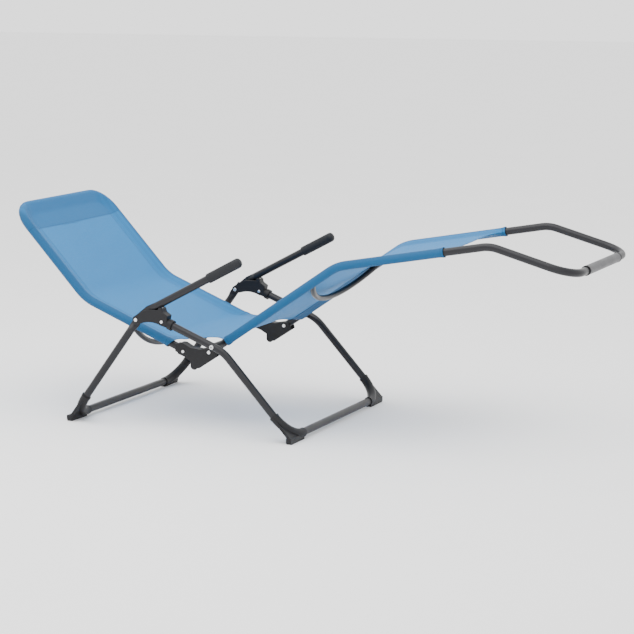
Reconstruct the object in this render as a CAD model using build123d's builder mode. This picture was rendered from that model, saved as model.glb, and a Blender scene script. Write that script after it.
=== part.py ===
from build123d import *
from math import atan2, cos, degrees, radians, sin
import os

# Rocking garden lounger: two U-shaped stand legs, two armrests, a leg frame and a
# back frame of bent steel tube, plastic knuckles, brackets and shoes, and a sling.
# Millimetres, +Z up, +X towards the feet, the mid-plane at Y = 0, the floor at Z = 0.
# Points of the side view are (x, z) pairs.

# ---- driving dimensions ----
TUBE = 22.0              # outside diameter of every main tube
WALL = 1.2
CROSS_TUBE = 16.0        # the two bowed cross tubes under the sling
BODY_Y = 245.0           # side tubes of the leg frame and the back frame
STAND_Y = 310.0          # side tubes of the two stand legs and the armrests
FIT = 0.1                # gap on the radius between a tube and its moulded socket
PIN_FIT = 0.05           # running gap on the radius at a pin

HINGE = (-417.0, 321.0)          # rear leg and armrest turn here
PIVOT = (-172.0, 259.0)          # the leg frame rocks here on the front leg
FRONT_SOCKET = (-332.0, 321.0)   # rivet of the front leg in its bracket
FRONT_BEND = (-139.6, 246.4)
FRONT_BAR = (72.0, 18.0)
REAR_BAR = (-641.0, 18.0)
KNEE = (184.9, 503.5)
ANKLE = (636.0, 586.0)
FOOT_BAR = (872.0, 521.0)
BACK_RIVET = (-298.0, 227.0)     # rivet of the back tube in its knuckle
BACK_BEND = (-632.0, 358.6)
HEAD_BAR = (-873.0, 615.0)
ARM_SLOPE = 28.0
ARM_OFFSET = 8.8                 # armrest axis above the hinge, square to the axis

FOLD_FROM_PIVOT = 50.0           # fold pin, back down the leg tube from the pivot
TAIL_FROM_PIVOT = 116.0          # free end of the leg tube, inside the knuckle
KNEE_BEND_R = 130.0
ANKLE_BEND_R = 100.0
BACK_BEND_R = 140.0
FRONT_BEND_R = 110.0
BODY_CORNER_R = 70.0
STAND_CORNER_R = 75.0

PIN_R = 4.0
RIVET_R = 2.5
PIN_HEAD_R = 5.4
RIVET_HEAD_R = 4.6
PIVOT_HEAD_R = 6.4
HEAD_H = 2.5
HEAD_DOME = 1.6          # rounding of a rivet's or pin's head
PIVOT_INNER_H = 1.5      # flat inner head, under the sling's sleeve
PIVOT_HOLE_R = 2.6       # the pivot rivet is hollow

SLEEVE_R = 13.0                  # outside of the sling's sleeve round a tube
SLEEVE_GAP = 0.3
CLOTH = 2.0
PANEL_HALF = 233.2               # the flat panel ends inside the sleeve's wall
SEAT_HALF = 172.0                # narrower where the cloth passes the knuckles

SIDES = {"left": 1, "right": -1}


def angle_of(start, end):
    """Angle of a line in the side view, in degrees above +X."""
    return degrees(atan2(end[1] - start[1], end[0] - start[0]))


def along(point, angle, distance, across=0.0):
    """Point reached from another by a distance at an angle, then square to it."""
    a = radians(angle)
    return (
        point[0] + distance * cos(a) - across * sin(a),
        point[1] + distance * sin(a) + across * cos(a),
    )


def at(point, y):
    return (point[0], y, point[1])


def side_plane(point, y, angle=0.0):
    """Side-view plane: local x at the angle, local y square to it, normal to -Y."""
    a = radians(angle)
    return Plane(origin=at(point, y), x_dir=(cos(a), 0, sin(a)), z_dir=(0, -1, 0))


def section_plane(point, y, angle):
    """Plane across a tube that runs at the angle: local x is Y."""
    a = radians(angle)
    return Plane(origin=at(point, y), x_dir=(0, 1, 0), z_dir=(cos(a), 0, sin(a)))


THIGH = angle_of(PIVOT, KNEE)
SEAT = angle_of(BACK_RIVET, BACK_BEND)
HEAD = angle_of(BACK_BEND, HEAD_BAR)
SHANK = angle_of(KNEE, ANKLE)
FRONT_TOP = angle_of(FRONT_SOCKET, FRONT_BEND)
FRONT_SHIN = angle_of(FRONT_BEND, FRONT_BAR)
REAR = angle_of(HINGE, REAR_BAR)

FOLD = along(PIVOT, THIGH, -FOLD_FROM_PIVOT)
TAIL = along(PIVOT, THIGH, -TAIL_FROM_PIVOT)
BACK_END = along(BACK_RIVET, SEAT, -14)
FRONT_TOP_END = along(FRONT_SOCKET, FRONT_TOP, -13)


def u_route(points, half_width):
    """The points of a U: down one side of the chair and back up the other."""
    near = [at(p, -half_width) for p in points]
    far = [at(p, half_width) for p in reversed(points)]
    return near + far


def u_radii(bends, corner):
    return list(bends) + [corner, corner] + list(reversed(bends))


def bent_line(points, radii):
    """Straight runs joined by tangent arcs."""
    with BuildLine() as line:
        if radii:
            FilletPolyline(*points, radius=radii)
        else:
            Line(*points)
    return line.line


def round_face(plane, outer, inner=0.0):
    with BuildSketch(plane) as face:
        Circle(outer)
        if inner:
            Circle(inner, mode=Mode.SUBTRACT)
    return face.sketch


def line_sweep(line, outer, inner=0.0, mode=Mode.ADD):
    """Sweep a round or ring section along a line, in whatever part is open."""
    sweep(round_face(Plane(origin=line @ 0, z_dir=line % 0), outer, inner), path=line, mode=mode)


def ring_sweep(points, radii, outer, inner=0.0, mode=Mode.ADD):
    """The same along straight runs joined by arcs."""
    line_sweep(bent_line(points, radii), outer, inner, mode)


def cross_hole(point, y, radius, length=60.0):
    """A hole along Y."""
    extrude(round_face(side_plane(point, y), radius), amount=length / 2, both=True, mode=Mode.SUBTRACT)


def tube_cut(point, y, angle, radius, reach=40.0):
    """Cut away a straight round bar centred on a point of the side view."""
    start = section_plane(along(point, angle, -reach), y, angle)
    extrude(round_face(start, radius), amount=2 * reach, mode=Mode.SUBTRACT)


def disc(point, y_from, y_to, radius, mode=Mode.ADD):
    """A round bar along Y between two values of y."""
    extrude(round_face(side_plane(point, y_from), radius), amount=y_from - y_to, mode=mode)


def headed_pin(point, y_from, y_to, radius, head_r):
    """A pin along Y with a domed head beyond each end."""
    out = HEAD_H if y_to > y_from else -HEAD_H
    with BuildPart() as pin:
        disc(point, y_from, y_to, radius)
        disc(point, y_to, y_to + out, head_r)
        disc(point, y_from - out, y_from, head_r)
        ends = pin.faces().filter_by(GeomType.PLANE).sort_by(Axis.Y)
        fillet(ends[0].edges() + ends[-1].edges(), HEAD_DOME)
    return pin


def save(part, name):
    part.part.label = name
    export_step(part.part, f"parts/{name}.step")


os.makedirs("parts", exist_ok=True)

# ---- stand: the front leg ----
with BuildPart() as front_leg:
    ring_sweep(
        u_route([FRONT_TOP_END, FRONT_BEND, FRONT_BAR], STAND_Y),
        u_radii([FRONT_BEND_R], STAND_CORNER_R),
        TUBE / 2,
        TUBE / 2 - WALL,
    )
    for side in SIDES.values():
        cross_hole(FRONT_SOCKET, side * STAND_Y, RIVET_R + PIN_FIT)
        cross_hole(PIVOT, side * STAND_Y, PIN_R + PIN_FIT)
save(front_leg, "front_leg_tube")

# ---- rear leg: a U whose ends are pressed flat to go between the bracket's cheeks ----
LEG_LANE = 305.5         # the flat of the rear leg, next to the inner cheek
ARM_LANE = 314.5         # the flat of the armrest, next to the outer cheek
FLAT = 5.0               # thickness of a pressed end
FLAT_WIDTH = 24.0
LEG_FLAT_END = 20.0      # from the hinge, where the flat starts to open out
LEG_ROUND_START = 36.0   # and where the tube is round
HEEL_LENGTH = 24.0       # beyond the hinge, stops on the bracket's web
HEEL_WIDTH = 16.0
ARM_FLAT_END = 50.0
ARM_ROUND_START = 80.0


def pressed_tube(point, angle, side, lane, flat_end, round_start, across=0.0):
    """The run where a pressed end opens out into the round tube."""
    with BuildSketch(section_plane(along(point, angle, flat_end, across), side * lane, angle)) as flat:
        Rectangle(FLAT, FLAT_WIDTH)
    round_end = section_plane(along(point, angle, round_start, across), side * STAND_Y, angle)
    loft([flat.sketch, round_face(round_end, TUBE / 2)])


with BuildPart() as rear_leg:
    ring_sweep(
        u_route([along(HINGE, REAR, LEG_ROUND_START), REAR_BAR], STAND_Y),
        u_radii([], STAND_CORNER_R),
        TUBE / 2,
        TUBE / 2 - WALL,
    )
    for side in SIDES.values():
        pressed_tube(HINGE, REAR, side, LEG_LANE, LEG_FLAT_END, LEG_ROUND_START)
        with BuildSketch(side_plane(HINGE, side * LEG_LANE, REAR)):
            Circle(FLAT_WIDTH / 2 - 0.5)
            with Locations((LEG_FLAT_END / 2, 0)):
                Rectangle(LEG_FLAT_END, FLAT_WIDTH)
            with Locations((-HEEL_LENGTH / 2, 0)):
                Rectangle(HEEL_LENGTH, HEEL_WIDTH)
        extrude(amount=FLAT / 2, both=True)
        cross_hole(HINGE, side * STAND_Y, PIN_R + PIN_FIT)
save(rear_leg, "rear_leg_tube")

# ---- armrests ----
GRIP_R = 14.5
GRIP_START = 267.0       # along the armrest's axis from the hinge
GRIP_LENGTH = 116.0
GRIP_OVERLAP = 85.0      # how far the tube runs inside the grip

for name, side in SIDES.items():
    tube_end = along(HINGE, ARM_SLOPE, GRIP_START + GRIP_OVERLAP, ARM_OFFSET)
    with BuildPart() as armrest:
        with BuildSketch(side_plane(HINGE, side * ARM_LANE, ARM_SLOPE)):
            Circle(FLAT_WIDTH / 2 - 0.5)
            with Locations((ARM_FLAT_END - 1, ARM_OFFSET)):
                Rectangle(2, FLAT_WIDTH)
            make_hull()
        extrude(amount=FLAT / 2, both=True)
        pressed_tube(HINGE, ARM_SLOPE, side, ARM_LANE, ARM_FLAT_END, ARM_ROUND_START, ARM_OFFSET)
        round_start = along(HINGE, ARM_SLOPE, ARM_ROUND_START, ARM_OFFSET)
        with BuildSketch(section_plane(round_start, side * STAND_Y, ARM_SLOPE)):
            Circle(TUBE / 2)
            Circle(TUBE / 2 - WALL, mode=Mode.SUBTRACT)
        extrude(amount=GRIP_START + GRIP_OVERLAP - ARM_ROUND_START)
        cross_hole(HINGE, side * STAND_Y, PIN_R + PIN_FIT)
    save(armrest, f"armrest_tube_{name}")

    grip_start = along(HINGE, ARM_SLOPE, GRIP_START, ARM_OFFSET)
    with BuildPart() as grip:
        with BuildSketch(section_plane(grip_start, side * STAND_Y, ARM_SLOPE)):
            Circle(GRIP_R)
        extrude(amount=GRIP_LENGTH)
        ends = grip.faces().filter_by(GeomType.PLANE).sort_by(Axis.X)
        fillet(ends[-1].edges(), GRIP_R * 0.7)
        fillet(ends[0].edges(), 2.0)
        with BuildSketch(section_plane(grip_start, side * STAND_Y, ARM_SLOPE)):
            Circle(TUBE / 2 + FIT)
        extrude(amount=GRIP_OVERLAP + 1, mode=Mode.SUBTRACT)
    save(grip, f"armrest_grip_{name}")

# ---- bracket at the top of each side of the stand ----
# The cheeks' outline, from the hinge: the lobe round the hinge, the top edge, the lobe
# over the stop pin, the end at the front leg's socket and the curved lower edge.
HINGE_LOBE = ((5.0, -10.4), (-11.5, 0.0), (-5.5, 10.1))
TOP_EDGE = (HINGE_LOBE[-1], (14.0, 23.0), (38.0, 33.0), (73.0, 33.0))
STOP_LOBE = (TOP_EDGE[-1], (80.0, 41.0), (87.5, 33.0))
SOCKET_EDGE = (STOP_LOBE[-1], (90.0, 27.0), (104.0, 18.0), (98.0, -15.0), (83.0, -12.0))
LOWER_EDGE = (SOCKET_EDGE[-1], (50.0, -4.0), (19.0, -8.5))
# The slot's outline: open behind the hinge and along the channel for the armrest.
SLOT_EDGE = ((-30, -40), (44, -40), (44, 18), (78, 36.1), (96, 45.7), (96, 60), (-30, 60))
# The web under the rear leg's heel, from the hinge, away from the leg.
WEB_NEAR, WEB_FAR, WEB_DEEP = 15.5, 23.0, 17.0
BRACKET_THICK = 28.0
CHEEK_GAP = 18.0         # slot between the cheeks for the two pressed ends
SOCKET_R = 13.8
COLLAR_R = 15.8
SOCKET_END = 32.0        # from the rivet, down the front leg
COLLAR_LENGTH = 12.0
STOP_PIN_R = 5.0
STOP_PIN_HALF = 12.0     # blind at both ends, inside the cheeks
STOP_PIN_ALONG = 86.7    # the armrest lies on this pin, this far from the hinge
REST_GAP = 0.15
SADDLE_R = TUBE / 2 + 0.3
SPACER_R = 10.0

for name, side in SIDES.items():
    below_armrest = ARM_OFFSET - TUBE / 2 - STOP_PIN_R - REST_GAP
    stop_pin = along(HINGE, ARM_SLOPE, STOP_PIN_ALONG, below_armrest)
    with BuildPart() as bracket:
        with BuildSketch(side_plane(HINGE, side * STAND_Y)):
            with BuildLine():
                Line(LOWER_EDGE[-1], HINGE_LOBE[0])
                ThreePointArc(*HINGE_LOBE)
                Polyline(*TOP_EDGE)
                ThreePointArc(*STOP_LOBE)
                Polyline(*SOCKET_EDGE)
                Spline(*LOWER_EDGE)
            make_face()
        extrude(amount=BRACKET_THICK / 2, both=True)
        outer_faces = bracket.faces().filter_by(Axis.Y).sort_by(Axis.Y)
        fillet(outer_faces[0].edges() + outer_faces[-1].edges(), 2.0)
        with BuildSketch(section_plane(along(FRONT_SOCKET, FRONT_TOP, -22), side * STAND_Y, FRONT_TOP)):
            Circle(SOCKET_R)
        extrude(amount=22 + SOCKET_END)
        collar = along(FRONT_SOCKET, FRONT_TOP, SOCKET_END - COLLAR_LENGTH)
        with BuildSketch(section_plane(collar, side * STAND_Y, FRONT_TOP)):
            Circle(COLLAR_R)
        extrude(amount=COLLAR_LENGTH)
        # the bore for the front leg's top end
        with BuildSketch(section_plane(FRONT_TOP_END, side * STAND_Y, FRONT_TOP)):
            Circle(TUBE / 2 + FIT)
        extrude(amount=80, mode=Mode.SUBTRACT)
        # the slot between the cheeks, and the channel that the armrest lies in
        with BuildSketch(side_plane(HINGE, side * STAND_Y)):
            with BuildLine():
                Polyline(*SLOT_EDGE, close=True)
            make_face()
        extrude(amount=CHEEK_GAP / 2, both=True, mode=Mode.SUBTRACT)
        cross_hole(HINGE, side * STAND_Y, PIN_R + PIN_FIT)
        cross_hole(FRONT_SOCKET, side * STAND_Y, RIVET_R + PIN_FIT)
        cross_hole(stop_pin, side * STAND_Y, STOP_PIN_R + PIN_FIT, length=2 * (STOP_PIN_HALF + PIN_FIT))
        # the web that the rear leg's heel stops on
        heel_edge = HEEL_WIDTH / 2 + FIT
        with BuildSketch(side_plane(HINGE, side * LEG_LANE, REAR + 180)):
            with BuildLine():
                Polyline(
                    (WEB_NEAR, -heel_edge),
                    (WEB_FAR, -heel_edge),
                    (WEB_FAR, -WEB_DEEP),
                    (WEB_NEAR, 5 - WEB_DEEP),
                    close=True,
                )
            make_face()
        extrude(amount=(CHEEK_GAP / 2 + LEG_LANE - STAND_Y), both=True)
    save(bracket, f"arm_bracket_{name}")

    outside = side * (STAND_Y + BRACKET_THICK / 2)
    inside = side * (STAND_Y - BRACKET_THICK / 2)
    save(headed_pin(HINGE, inside, outside, PIN_R, PIN_HEAD_R), f"stand_hinge_pin_{name}")
    save(headed_pin(FRONT_SOCKET, inside, outside, RIVET_R, RIVET_HEAD_R), f"bracket_rivet_{name}")

    with BuildPart() as stop:
        disc(stop_pin, side * (STAND_Y - STOP_PIN_HALF), side * (STAND_Y + STOP_PIN_HALF), STOP_PIN_R)
        chamfer(stop.faces().filter_by(Axis.Y).edges(), 0.6)
    save(stop, f"arm_stop_pin_{name}")

    washer_from = side * (LEG_LANE + FLAT / 2 + 0.3)
    washer_to = side * (ARM_LANE - FLAT / 2 - 0.3)
    with BuildPart() as washer:
        disc(HINGE, washer_from, washer_to, 9.0)
        cross_hole(HINGE, side * STAND_Y, PIN_R + PIN_FIT)
    save(washer, f"hinge_washer_{name}")

    # ---- rocking pivot: a hollow rivet and a spacer between the two tubes ----
    inner_face = side * (BODY_Y - TUBE / 2)
    outer_face = side * (STAND_Y + TUBE / 2)
    with BuildPart() as pivot:
        disc(PIVOT, outer_face - side * 4, outer_face + side * HEAD_H, PIVOT_HEAD_R)
        fillet(pivot.faces().filter_by(GeomType.PLANE).sort_by(Axis.Y, reverse=side > 0)[0].edges(), HEAD_DOME)
        tube_cut(PIVOT, side * STAND_Y, FRONT_TOP, SADDLE_R)
        disc(PIVOT, inner_face, outer_face, PIN_R)
        disc(PIVOT, inner_face - side * 0.3, inner_face - side * PIVOT_INNER_H, PIVOT_HEAD_R)
        disc(PIVOT, inner_face, inner_face - side * 0.3, PIN_R)
        cross_hole(PIVOT, side * STAND_Y, PIVOT_HOLE_R, length=200.0)
    save(pivot, f"pivot_rivet_{name}")

    with BuildPart() as spacer:
        disc(PIVOT, side * (BODY_Y + TUBE / 2 + SLEEVE_GAP), side * (STAND_Y - 5), SPACER_R)
        tube_cut(PIVOT, side * STAND_Y, FRONT_TOP, SADDLE_R)
        cross_hole(PIVOT, side * STAND_Y, PIN_R + PIN_FIT, length=140.0)
    save(spacer, f"pivot_spacer_{name}")

# ---- shoes on the outer corners of both legs ----
SHOE_R = 13.6
SHOE_UP = 77.0           # how far the shoe reaches up the leg from the bar
SHOE_IN = 80.0           # how far it reaches in along the floor bar
LIP_LENGTH = 6.0
LIP_R = 14.3
WEDGE_HALF = 4.0         # the flat wedge that fills the outer corner
WEDGE_DEEP = 8.0         # how far it goes on past the bar
SOLE_HALF = 8.0          # the block under the bar that stands on the floor
SOLE_CUT = 5.0           # its outer end is cut off at a slant
BORE_SPARE = 20.0

for leg, bar, angle, sole_shift in (("front", FRONT_BAR, FRONT_SHIN, 0.0), ("rear", REAR_BAR, REAR, -8.0)):
    for name, side in SIDES.items():
        corner = at(bar, side * STAND_Y)
        leg_plane = Plane(
            origin=corner,
            x_dir=(0, side, 0),
            z_dir=(side * sin(radians(angle)), 0, -side * cos(radians(angle))),
        )
        collar = at(along(bar, angle, -SHOE_UP), side * STAND_Y)
        lip = at(along(bar, angle, LIP_LENGTH - SHOE_UP), side * STAND_Y)
        inner_end = at(bar, side * (STAND_Y - SHOE_IN))
        bore_top = at(along(bar, angle, -SHOE_UP - BORE_SPARE), side * STAND_Y)
        bore_end = at(bar, side * (STAND_Y - SHOE_IN - BORE_SPARE))
        sole_plane = Plane(
            origin=(bar[0] + sole_shift, side * STAND_Y, 0),
            x_dir=(0, side, 0),
            z_dir=(side, 0, 0),
        )
        outer_edge = SHOE_R + 0.4
        inner_edge = LIP_LENGTH - SHOE_IN
        with BuildPart() as shoe:
            with BuildSketch(leg_plane):
                with BuildLine():
                    Polyline(
                        (SHOE_R - 0.6, LIP_LENGTH - SHOE_UP),
                        (outer_edge, WEDGE_DEEP),
                        (inner_edge, WEDGE_DEEP),
                        (inner_edge, 0),
                        (-20, -6),
                        (0, LIP_LENGTH - SHOE_UP),
                        close=True,
                    )
                make_face()
            extrude(amount=WEDGE_HALF, both=True)
            with BuildSketch(sole_plane):
                with BuildLine():
                    Polyline(
                        (outer_edge - SOLE_CUT, 0),
                        (outer_edge, SOLE_CUT),
                        (outer_edge, bar[1]),
                        (inner_edge, bar[1]),
                        (inner_edge, 0),
                        close=True,
                    )
                make_face()
            extrude(amount=SOLE_HALF, both=True)
            ring_sweep([collar, corner, inner_end], [STAND_CORNER_R], SHOE_R)
            ring_sweep([collar, lip], [], LIP_R)
            split(bisect_by=Plane.XY, keep=Keep.TOP)
            ring_sweep([bore_top, corner, bore_end], [STAND_CORNER_R], TUBE / 2 + FIT, mode=Mode.SUBTRACT)
        save(shoe, f"{leg}_shoe_{name}")

# ---- leg frame ----
CROSS_BOW = 98.0         # depth of the arc that both cross tubes are bent to
KNEE_CROSS_AT = 344.0    # from the pivot along the thigh
KNEE_CROSS_TILT = -127.0 # direction that the arc bows in, in the side view
SEAT_CROSS_AT = 192.0    # from the back tube's rivet
SEAT_CROSS_TILT = -100.0
FOOT_SLEEVE_HALF = 135.0
FOOT_SLEEVE_R = 13.4
BAND_WIDTH = 7.0
BAND_R = 14.0

LEG_POINTS = [TAIL, KNEE, ANKLE, FOOT_BAR]
LEG_RADII = u_radii([KNEE_BEND_R, ANKLE_BEND_R], BODY_CORNER_R)
BACK_POINTS = [BACK_END, BACK_BEND, HEAD_BAR]
BACK_RADII = u_radii([BACK_BEND_R], BODY_CORNER_R)

with BuildPart() as leg_frame:
    ring_sweep(u_route(LEG_POINTS, BODY_Y), LEG_RADII, TUBE / 2, TUBE / 2 - WALL)
    for side in SIDES.values():
        cross_hole(PIVOT, side * BODY_Y, PIN_R + PIN_FIT)
        cross_hole(FOLD, side * BODY_Y, PIN_R + PIN_FIT)
save(leg_frame, "leg_frame_tube")


def cross_arc(point, tilt):
    """The arc of a cross tube, from one side tube down under the sling to the other."""
    with BuildLine() as line:
        ThreePointArc(at(point, -BODY_Y), at(along(point, tilt, CROSS_BOW), 0), at(point, BODY_Y))
    return line.line


KNEE_CROSS = along(PIVOT, THIGH, KNEE_CROSS_AT)
SEAT_CROSS = along(BACK_RIVET, SEAT, SEAT_CROSS_AT)
KNEE_ARC = cross_arc(KNEE_CROSS, KNEE_CROSS_TILT)
SEAT_ARC = cross_arc(SEAT_CROSS, SEAT_CROSS_TILT)

for name, point, angle, arc in (
    ("knee_cross_tube", KNEE_CROSS, THIGH, KNEE_ARC),
    ("seat_cross_tube", SEAT_CROSS, SEAT, SEAT_ARC),
):
    with BuildPart() as cross:
        line_sweep(arc, CROSS_TUBE / 2, CROSS_TUBE / 2 - WALL)
        for side in SIDES.values():
            tube_cut(point, side * BODY_Y, angle, TUBE / 2 + PIN_FIT)
    save(cross, name)

with BuildPart() as foot_sleeve:
    disc(FOOT_BAR, -FOOT_SLEEVE_HALF, FOOT_SLEEVE_HALF, FOOT_SLEEVE_R)
    cross_hole(FOOT_BAR, 0, TUBE / 2 + FIT, length=FOOT_SLEEVE_HALF * 3)
save(foot_sleeve, "foot_bar_sleeve")

for name, side in SIDES.items():
    band_start = side * (FOOT_SLEEVE_HALF + 0.5)
    with BuildPart() as band:
        disc(FOOT_BAR, band_start, band_start + side * BAND_WIDTH, BAND_R)
        chamfer(band.faces().filter_by(Axis.Y).edges(), 0.8)
        cross_hole(FOOT_BAR, band_start, TUBE / 2 + FIT)
    save(band, f"foot_bar_band_{name}")

# ---- back frame ----
with BuildPart() as back_frame:
    ring_sweep(u_route(BACK_POINTS, BODY_Y), BACK_RADII, TUBE / 2, TUBE / 2 - WALL)
    for side in SIDES.values():
        cross_hole(BACK_RIVET, side * BODY_Y, RIVET_R + PIN_FIT)
save(back_frame, "back_frame_tube")

# ---- knuckles: a socket for the back tube, and cheeks that turn on the leg tube ----
# The outline, from the fold pin: the top edge, the end at the back tube's socket, the
# stepped lower edge with its rounded heel, and the nose in front of the pin.
KNUCKLE_TOP = ((0.0, 11.5), (-32.0, 6.0), (-62.0, 9.0), (-86.0, 21.0), (-96.0, 21.0), (-106.0, 10.0))
KNUCKLE_LOW = (KNUCKLE_TOP[-1], (-103.0, -12.0), (-79.0, -20.0), (-61.0, -30.0), (-61.0, -41.0))
KNUCKLE_HEEL = (KNUCKLE_LOW[-1], (-56.5, -53.0), (-46.0, -55.0))
KNUCKLE_NOSE = ((24.0, -9.0), (18.0, 5.0), KNUCKLE_TOP[0])
KNUCKLE_THICK = 30.0
KNUCKLE_SLOT = 23.0      # between the cheeks, for the leg tube
KNUCKLE_SOCKET_R = 13.8
KNUCKLE_COLLAR_R = 15.4
KNUCKLE_SOCKET_END = 26.0
FOLD_TRAVEL = 112.0
TUBE_CLEAR = TUBE / 2 + 0.3

for name, side in SIDES.items():
    with BuildPart() as knuckle:
        with BuildSketch(side_plane(FOLD, side * BODY_Y)):
            with BuildLine():
                Polyline(*KNUCKLE_TOP)
                Polyline(*KNUCKLE_LOW)
                ThreePointArc(*KNUCKLE_HEEL)
                Line(KNUCKLE_HEEL[-1], KNUCKLE_NOSE[0])
                ThreePointArc(*KNUCKLE_NOSE)
            make_face()
        extrude(amount=KNUCKLE_THICK / 2, both=True)
        outer_faces = knuckle.faces().filter_by(Axis.Y).sort_by(Axis.Y)
        fillet(outer_faces[0].edges() + outer_faces[-1].edges(), 1.6)
        socket_start = along(BACK_RIVET, SEAT, -16)
        with BuildSketch(section_plane(socket_start, side * BODY_Y, SEAT)):
            Circle(KNUCKLE_SOCKET_R)
        extrude(amount=16 + KNUCKLE_SOCKET_END)
        collar = along(BACK_RIVET, SEAT, KNUCKLE_SOCKET_END - 9)
        with BuildSketch(section_plane(collar, side * BODY_Y, SEAT)):
            Circle(KNUCKLE_COLLAR_R)
        extrude(amount=9)
        with BuildSketch(section_plane(BACK_END, side * BODY_Y, SEAT)):
            Circle(TUBE / 2 + FIT)
        extrude(amount=80, mode=Mode.SUBTRACT)
        # the slot that the leg tube turns in: all but a web between its two end positions
        top_angle = THIGH + FOLD_TRAVEL
        reach = 150.0
        apex = TUBE_CLEAR / sin(radians((THIGH + 180 - top_angle) / 2))
        middle = (THIGH + 180 + top_angle) / 2
        web_apex = along((0, 0), middle, apex)
        web_top = along((0, 0), top_angle, reach, TUBE_CLEAR)
        web_low = along((0, 0), THIGH + 180, reach, -TUBE_CLEAR)
        with BuildSketch(side_plane(FOLD, side * BODY_Y)):
            with BuildLine():
                Polyline(web_apex, web_top, (0, 150), (150, 0), (0, -150), web_low, close=True)
            make_face()
        extrude(amount=KNUCKLE_SLOT / 2, both=True, mode=Mode.SUBTRACT)
        cross_hole(FOLD, side * BODY_Y, PIN_R + PIN_FIT)
        cross_hole(BACK_RIVET, side * BODY_Y, RIVET_R + PIN_FIT)
    save(knuckle, f"knuckle_{name}")

    outside = side * (BODY_Y + KNUCKLE_THICK / 2)
    inside = side * (BODY_Y - KNUCKLE_THICK / 2)
    save(headed_pin(FOLD, inside, outside, PIN_R, PIN_HEAD_R), f"fold_rivet_{name}")
    save(headed_pin(BACK_RIVET, inside, outside, RIVET_R, RIVET_HEAD_R), f"knuckle_rivet_{name}")

# ---- sling: one sheet, in two parts, sleeved over the side tubes ----
LEG_SLEEVE_START = 14.0              # from the pivot
SLING_FOOT = (505.0, 562.1)          # where the sleeves end, below the ankle bend
PANEL_FOOT_BACK = 60.0               # the panel's end edge is further back
BACK_SLEEVE_START = 55.0             # from the back tube's rivet
BACK_PANEL_START = 80.0              # where the seat leaves the tubes' plane and runs level
SEAT_FRONT = (-268.0, 258.0)         # the free front edge of the seat part
HEAD_PANEL_BACK = 11.8


def panel_sweep(points, radii, half_width):
    """A flat strip of cloth that follows the side tubes."""
    with BuildSketch(section_plane(points[0], 0, angle_of(points[0], points[1]))) as strip:
        Rectangle(2 * half_width, CLOTH)
    sweep(strip.sketch, path=bent_line([at(p, 0) for p in points], radii))


def passage(arc):
    """The slits that a cross tube passes through."""
    line_sweep(arc, CROSS_TUBE / 2 + SLEEVE_GAP, mode=Mode.SUBTRACT)


leg_mouth = along(PIVOT, THIGH, LEG_SLEEVE_START)
panel_foot = along(SLING_FOOT, SHANK, -PANEL_FOOT_BACK)
with BuildPart() as sling_leg:
    for side in SIDES.values():
        ring_sweep(
            [at(leg_mouth, side * BODY_Y), at(KNEE, side * BODY_Y), at(SLING_FOOT, side * BODY_Y)],
            [KNEE_BEND_R],
            SLEEVE_R,
            TUBE / 2 + SLEEVE_GAP,
        )
    panel_sweep([leg_mouth, KNEE, panel_foot], [KNEE_BEND_R], PANEL_HALF)
    passage(KNEE_ARC)
save(sling_leg, "sling_leg")

back_mouth = along(BACK_RIVET, SEAT, BACK_SLEEVE_START)
panel_start = along(BACK_RIVET, SEAT, BACK_PANEL_START)
corner_start = along(HEAD_BAR, HEAD, 1 - BODY_CORNER_R)
head_angle = radians(HEAD)
head_plane = Plane(
    origin=at(HEAD_BAR, 0),
    x_dir=(0, 1, 0),
    z_dir=(sin(head_angle), 0, -cos(head_angle)),
)
with BuildPart() as sling_back:
    ring_sweep(
        u_route([back_mouth, BACK_BEND, HEAD_BAR], BODY_Y),
        BACK_RADII,
        SLEEVE_R,
        TUBE / 2 + SLEEVE_GAP,
    )
    panel_sweep([panel_start, BACK_BEND, corner_start], [BACK_BEND_R], PANEL_HALF)
    with BuildSketch(head_plane) as head_panel:
        with Locations((0, -(BODY_CORNER_R + HEAD_PANEL_BACK) / 2)):
            Rectangle(2 * PANEL_HALF, BODY_CORNER_R - HEAD_PANEL_BACK)
        fillet(head_panel.vertices().group_by(Axis.Y)[-1], BODY_CORNER_R - HEAD_PANEL_BACK - 0.1)
    extrude(head_panel.sketch, amount=CLOTH / 2, both=True)
    panel_sweep([along(panel_start, SEAT, 1), SEAT_FRONT], [], SEAT_HALF)
    passage(SEAT_ARC)
save(sling_back, "sling_back")
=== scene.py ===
from math import acos, atan2, cos, hypot, pi, radians, sin, tan

import bmesh
import bpy
import numpy as np
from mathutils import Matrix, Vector


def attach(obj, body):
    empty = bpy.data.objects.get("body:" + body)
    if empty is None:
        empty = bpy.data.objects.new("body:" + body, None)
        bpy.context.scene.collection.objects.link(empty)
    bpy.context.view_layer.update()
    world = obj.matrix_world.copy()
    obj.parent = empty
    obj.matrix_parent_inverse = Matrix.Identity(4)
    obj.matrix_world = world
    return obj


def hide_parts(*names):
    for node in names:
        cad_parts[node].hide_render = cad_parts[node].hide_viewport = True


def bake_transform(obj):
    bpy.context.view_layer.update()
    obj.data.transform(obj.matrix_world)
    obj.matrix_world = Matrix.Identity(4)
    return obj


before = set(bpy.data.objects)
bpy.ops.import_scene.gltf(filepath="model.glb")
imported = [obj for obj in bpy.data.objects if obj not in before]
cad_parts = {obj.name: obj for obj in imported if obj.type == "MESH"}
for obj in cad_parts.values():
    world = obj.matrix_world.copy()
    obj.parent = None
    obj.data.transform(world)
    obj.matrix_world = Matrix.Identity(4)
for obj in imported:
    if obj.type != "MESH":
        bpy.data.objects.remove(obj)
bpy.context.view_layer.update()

# Metres. +X towards the feet, +Y the sitter's left, +Z up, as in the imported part.

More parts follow.
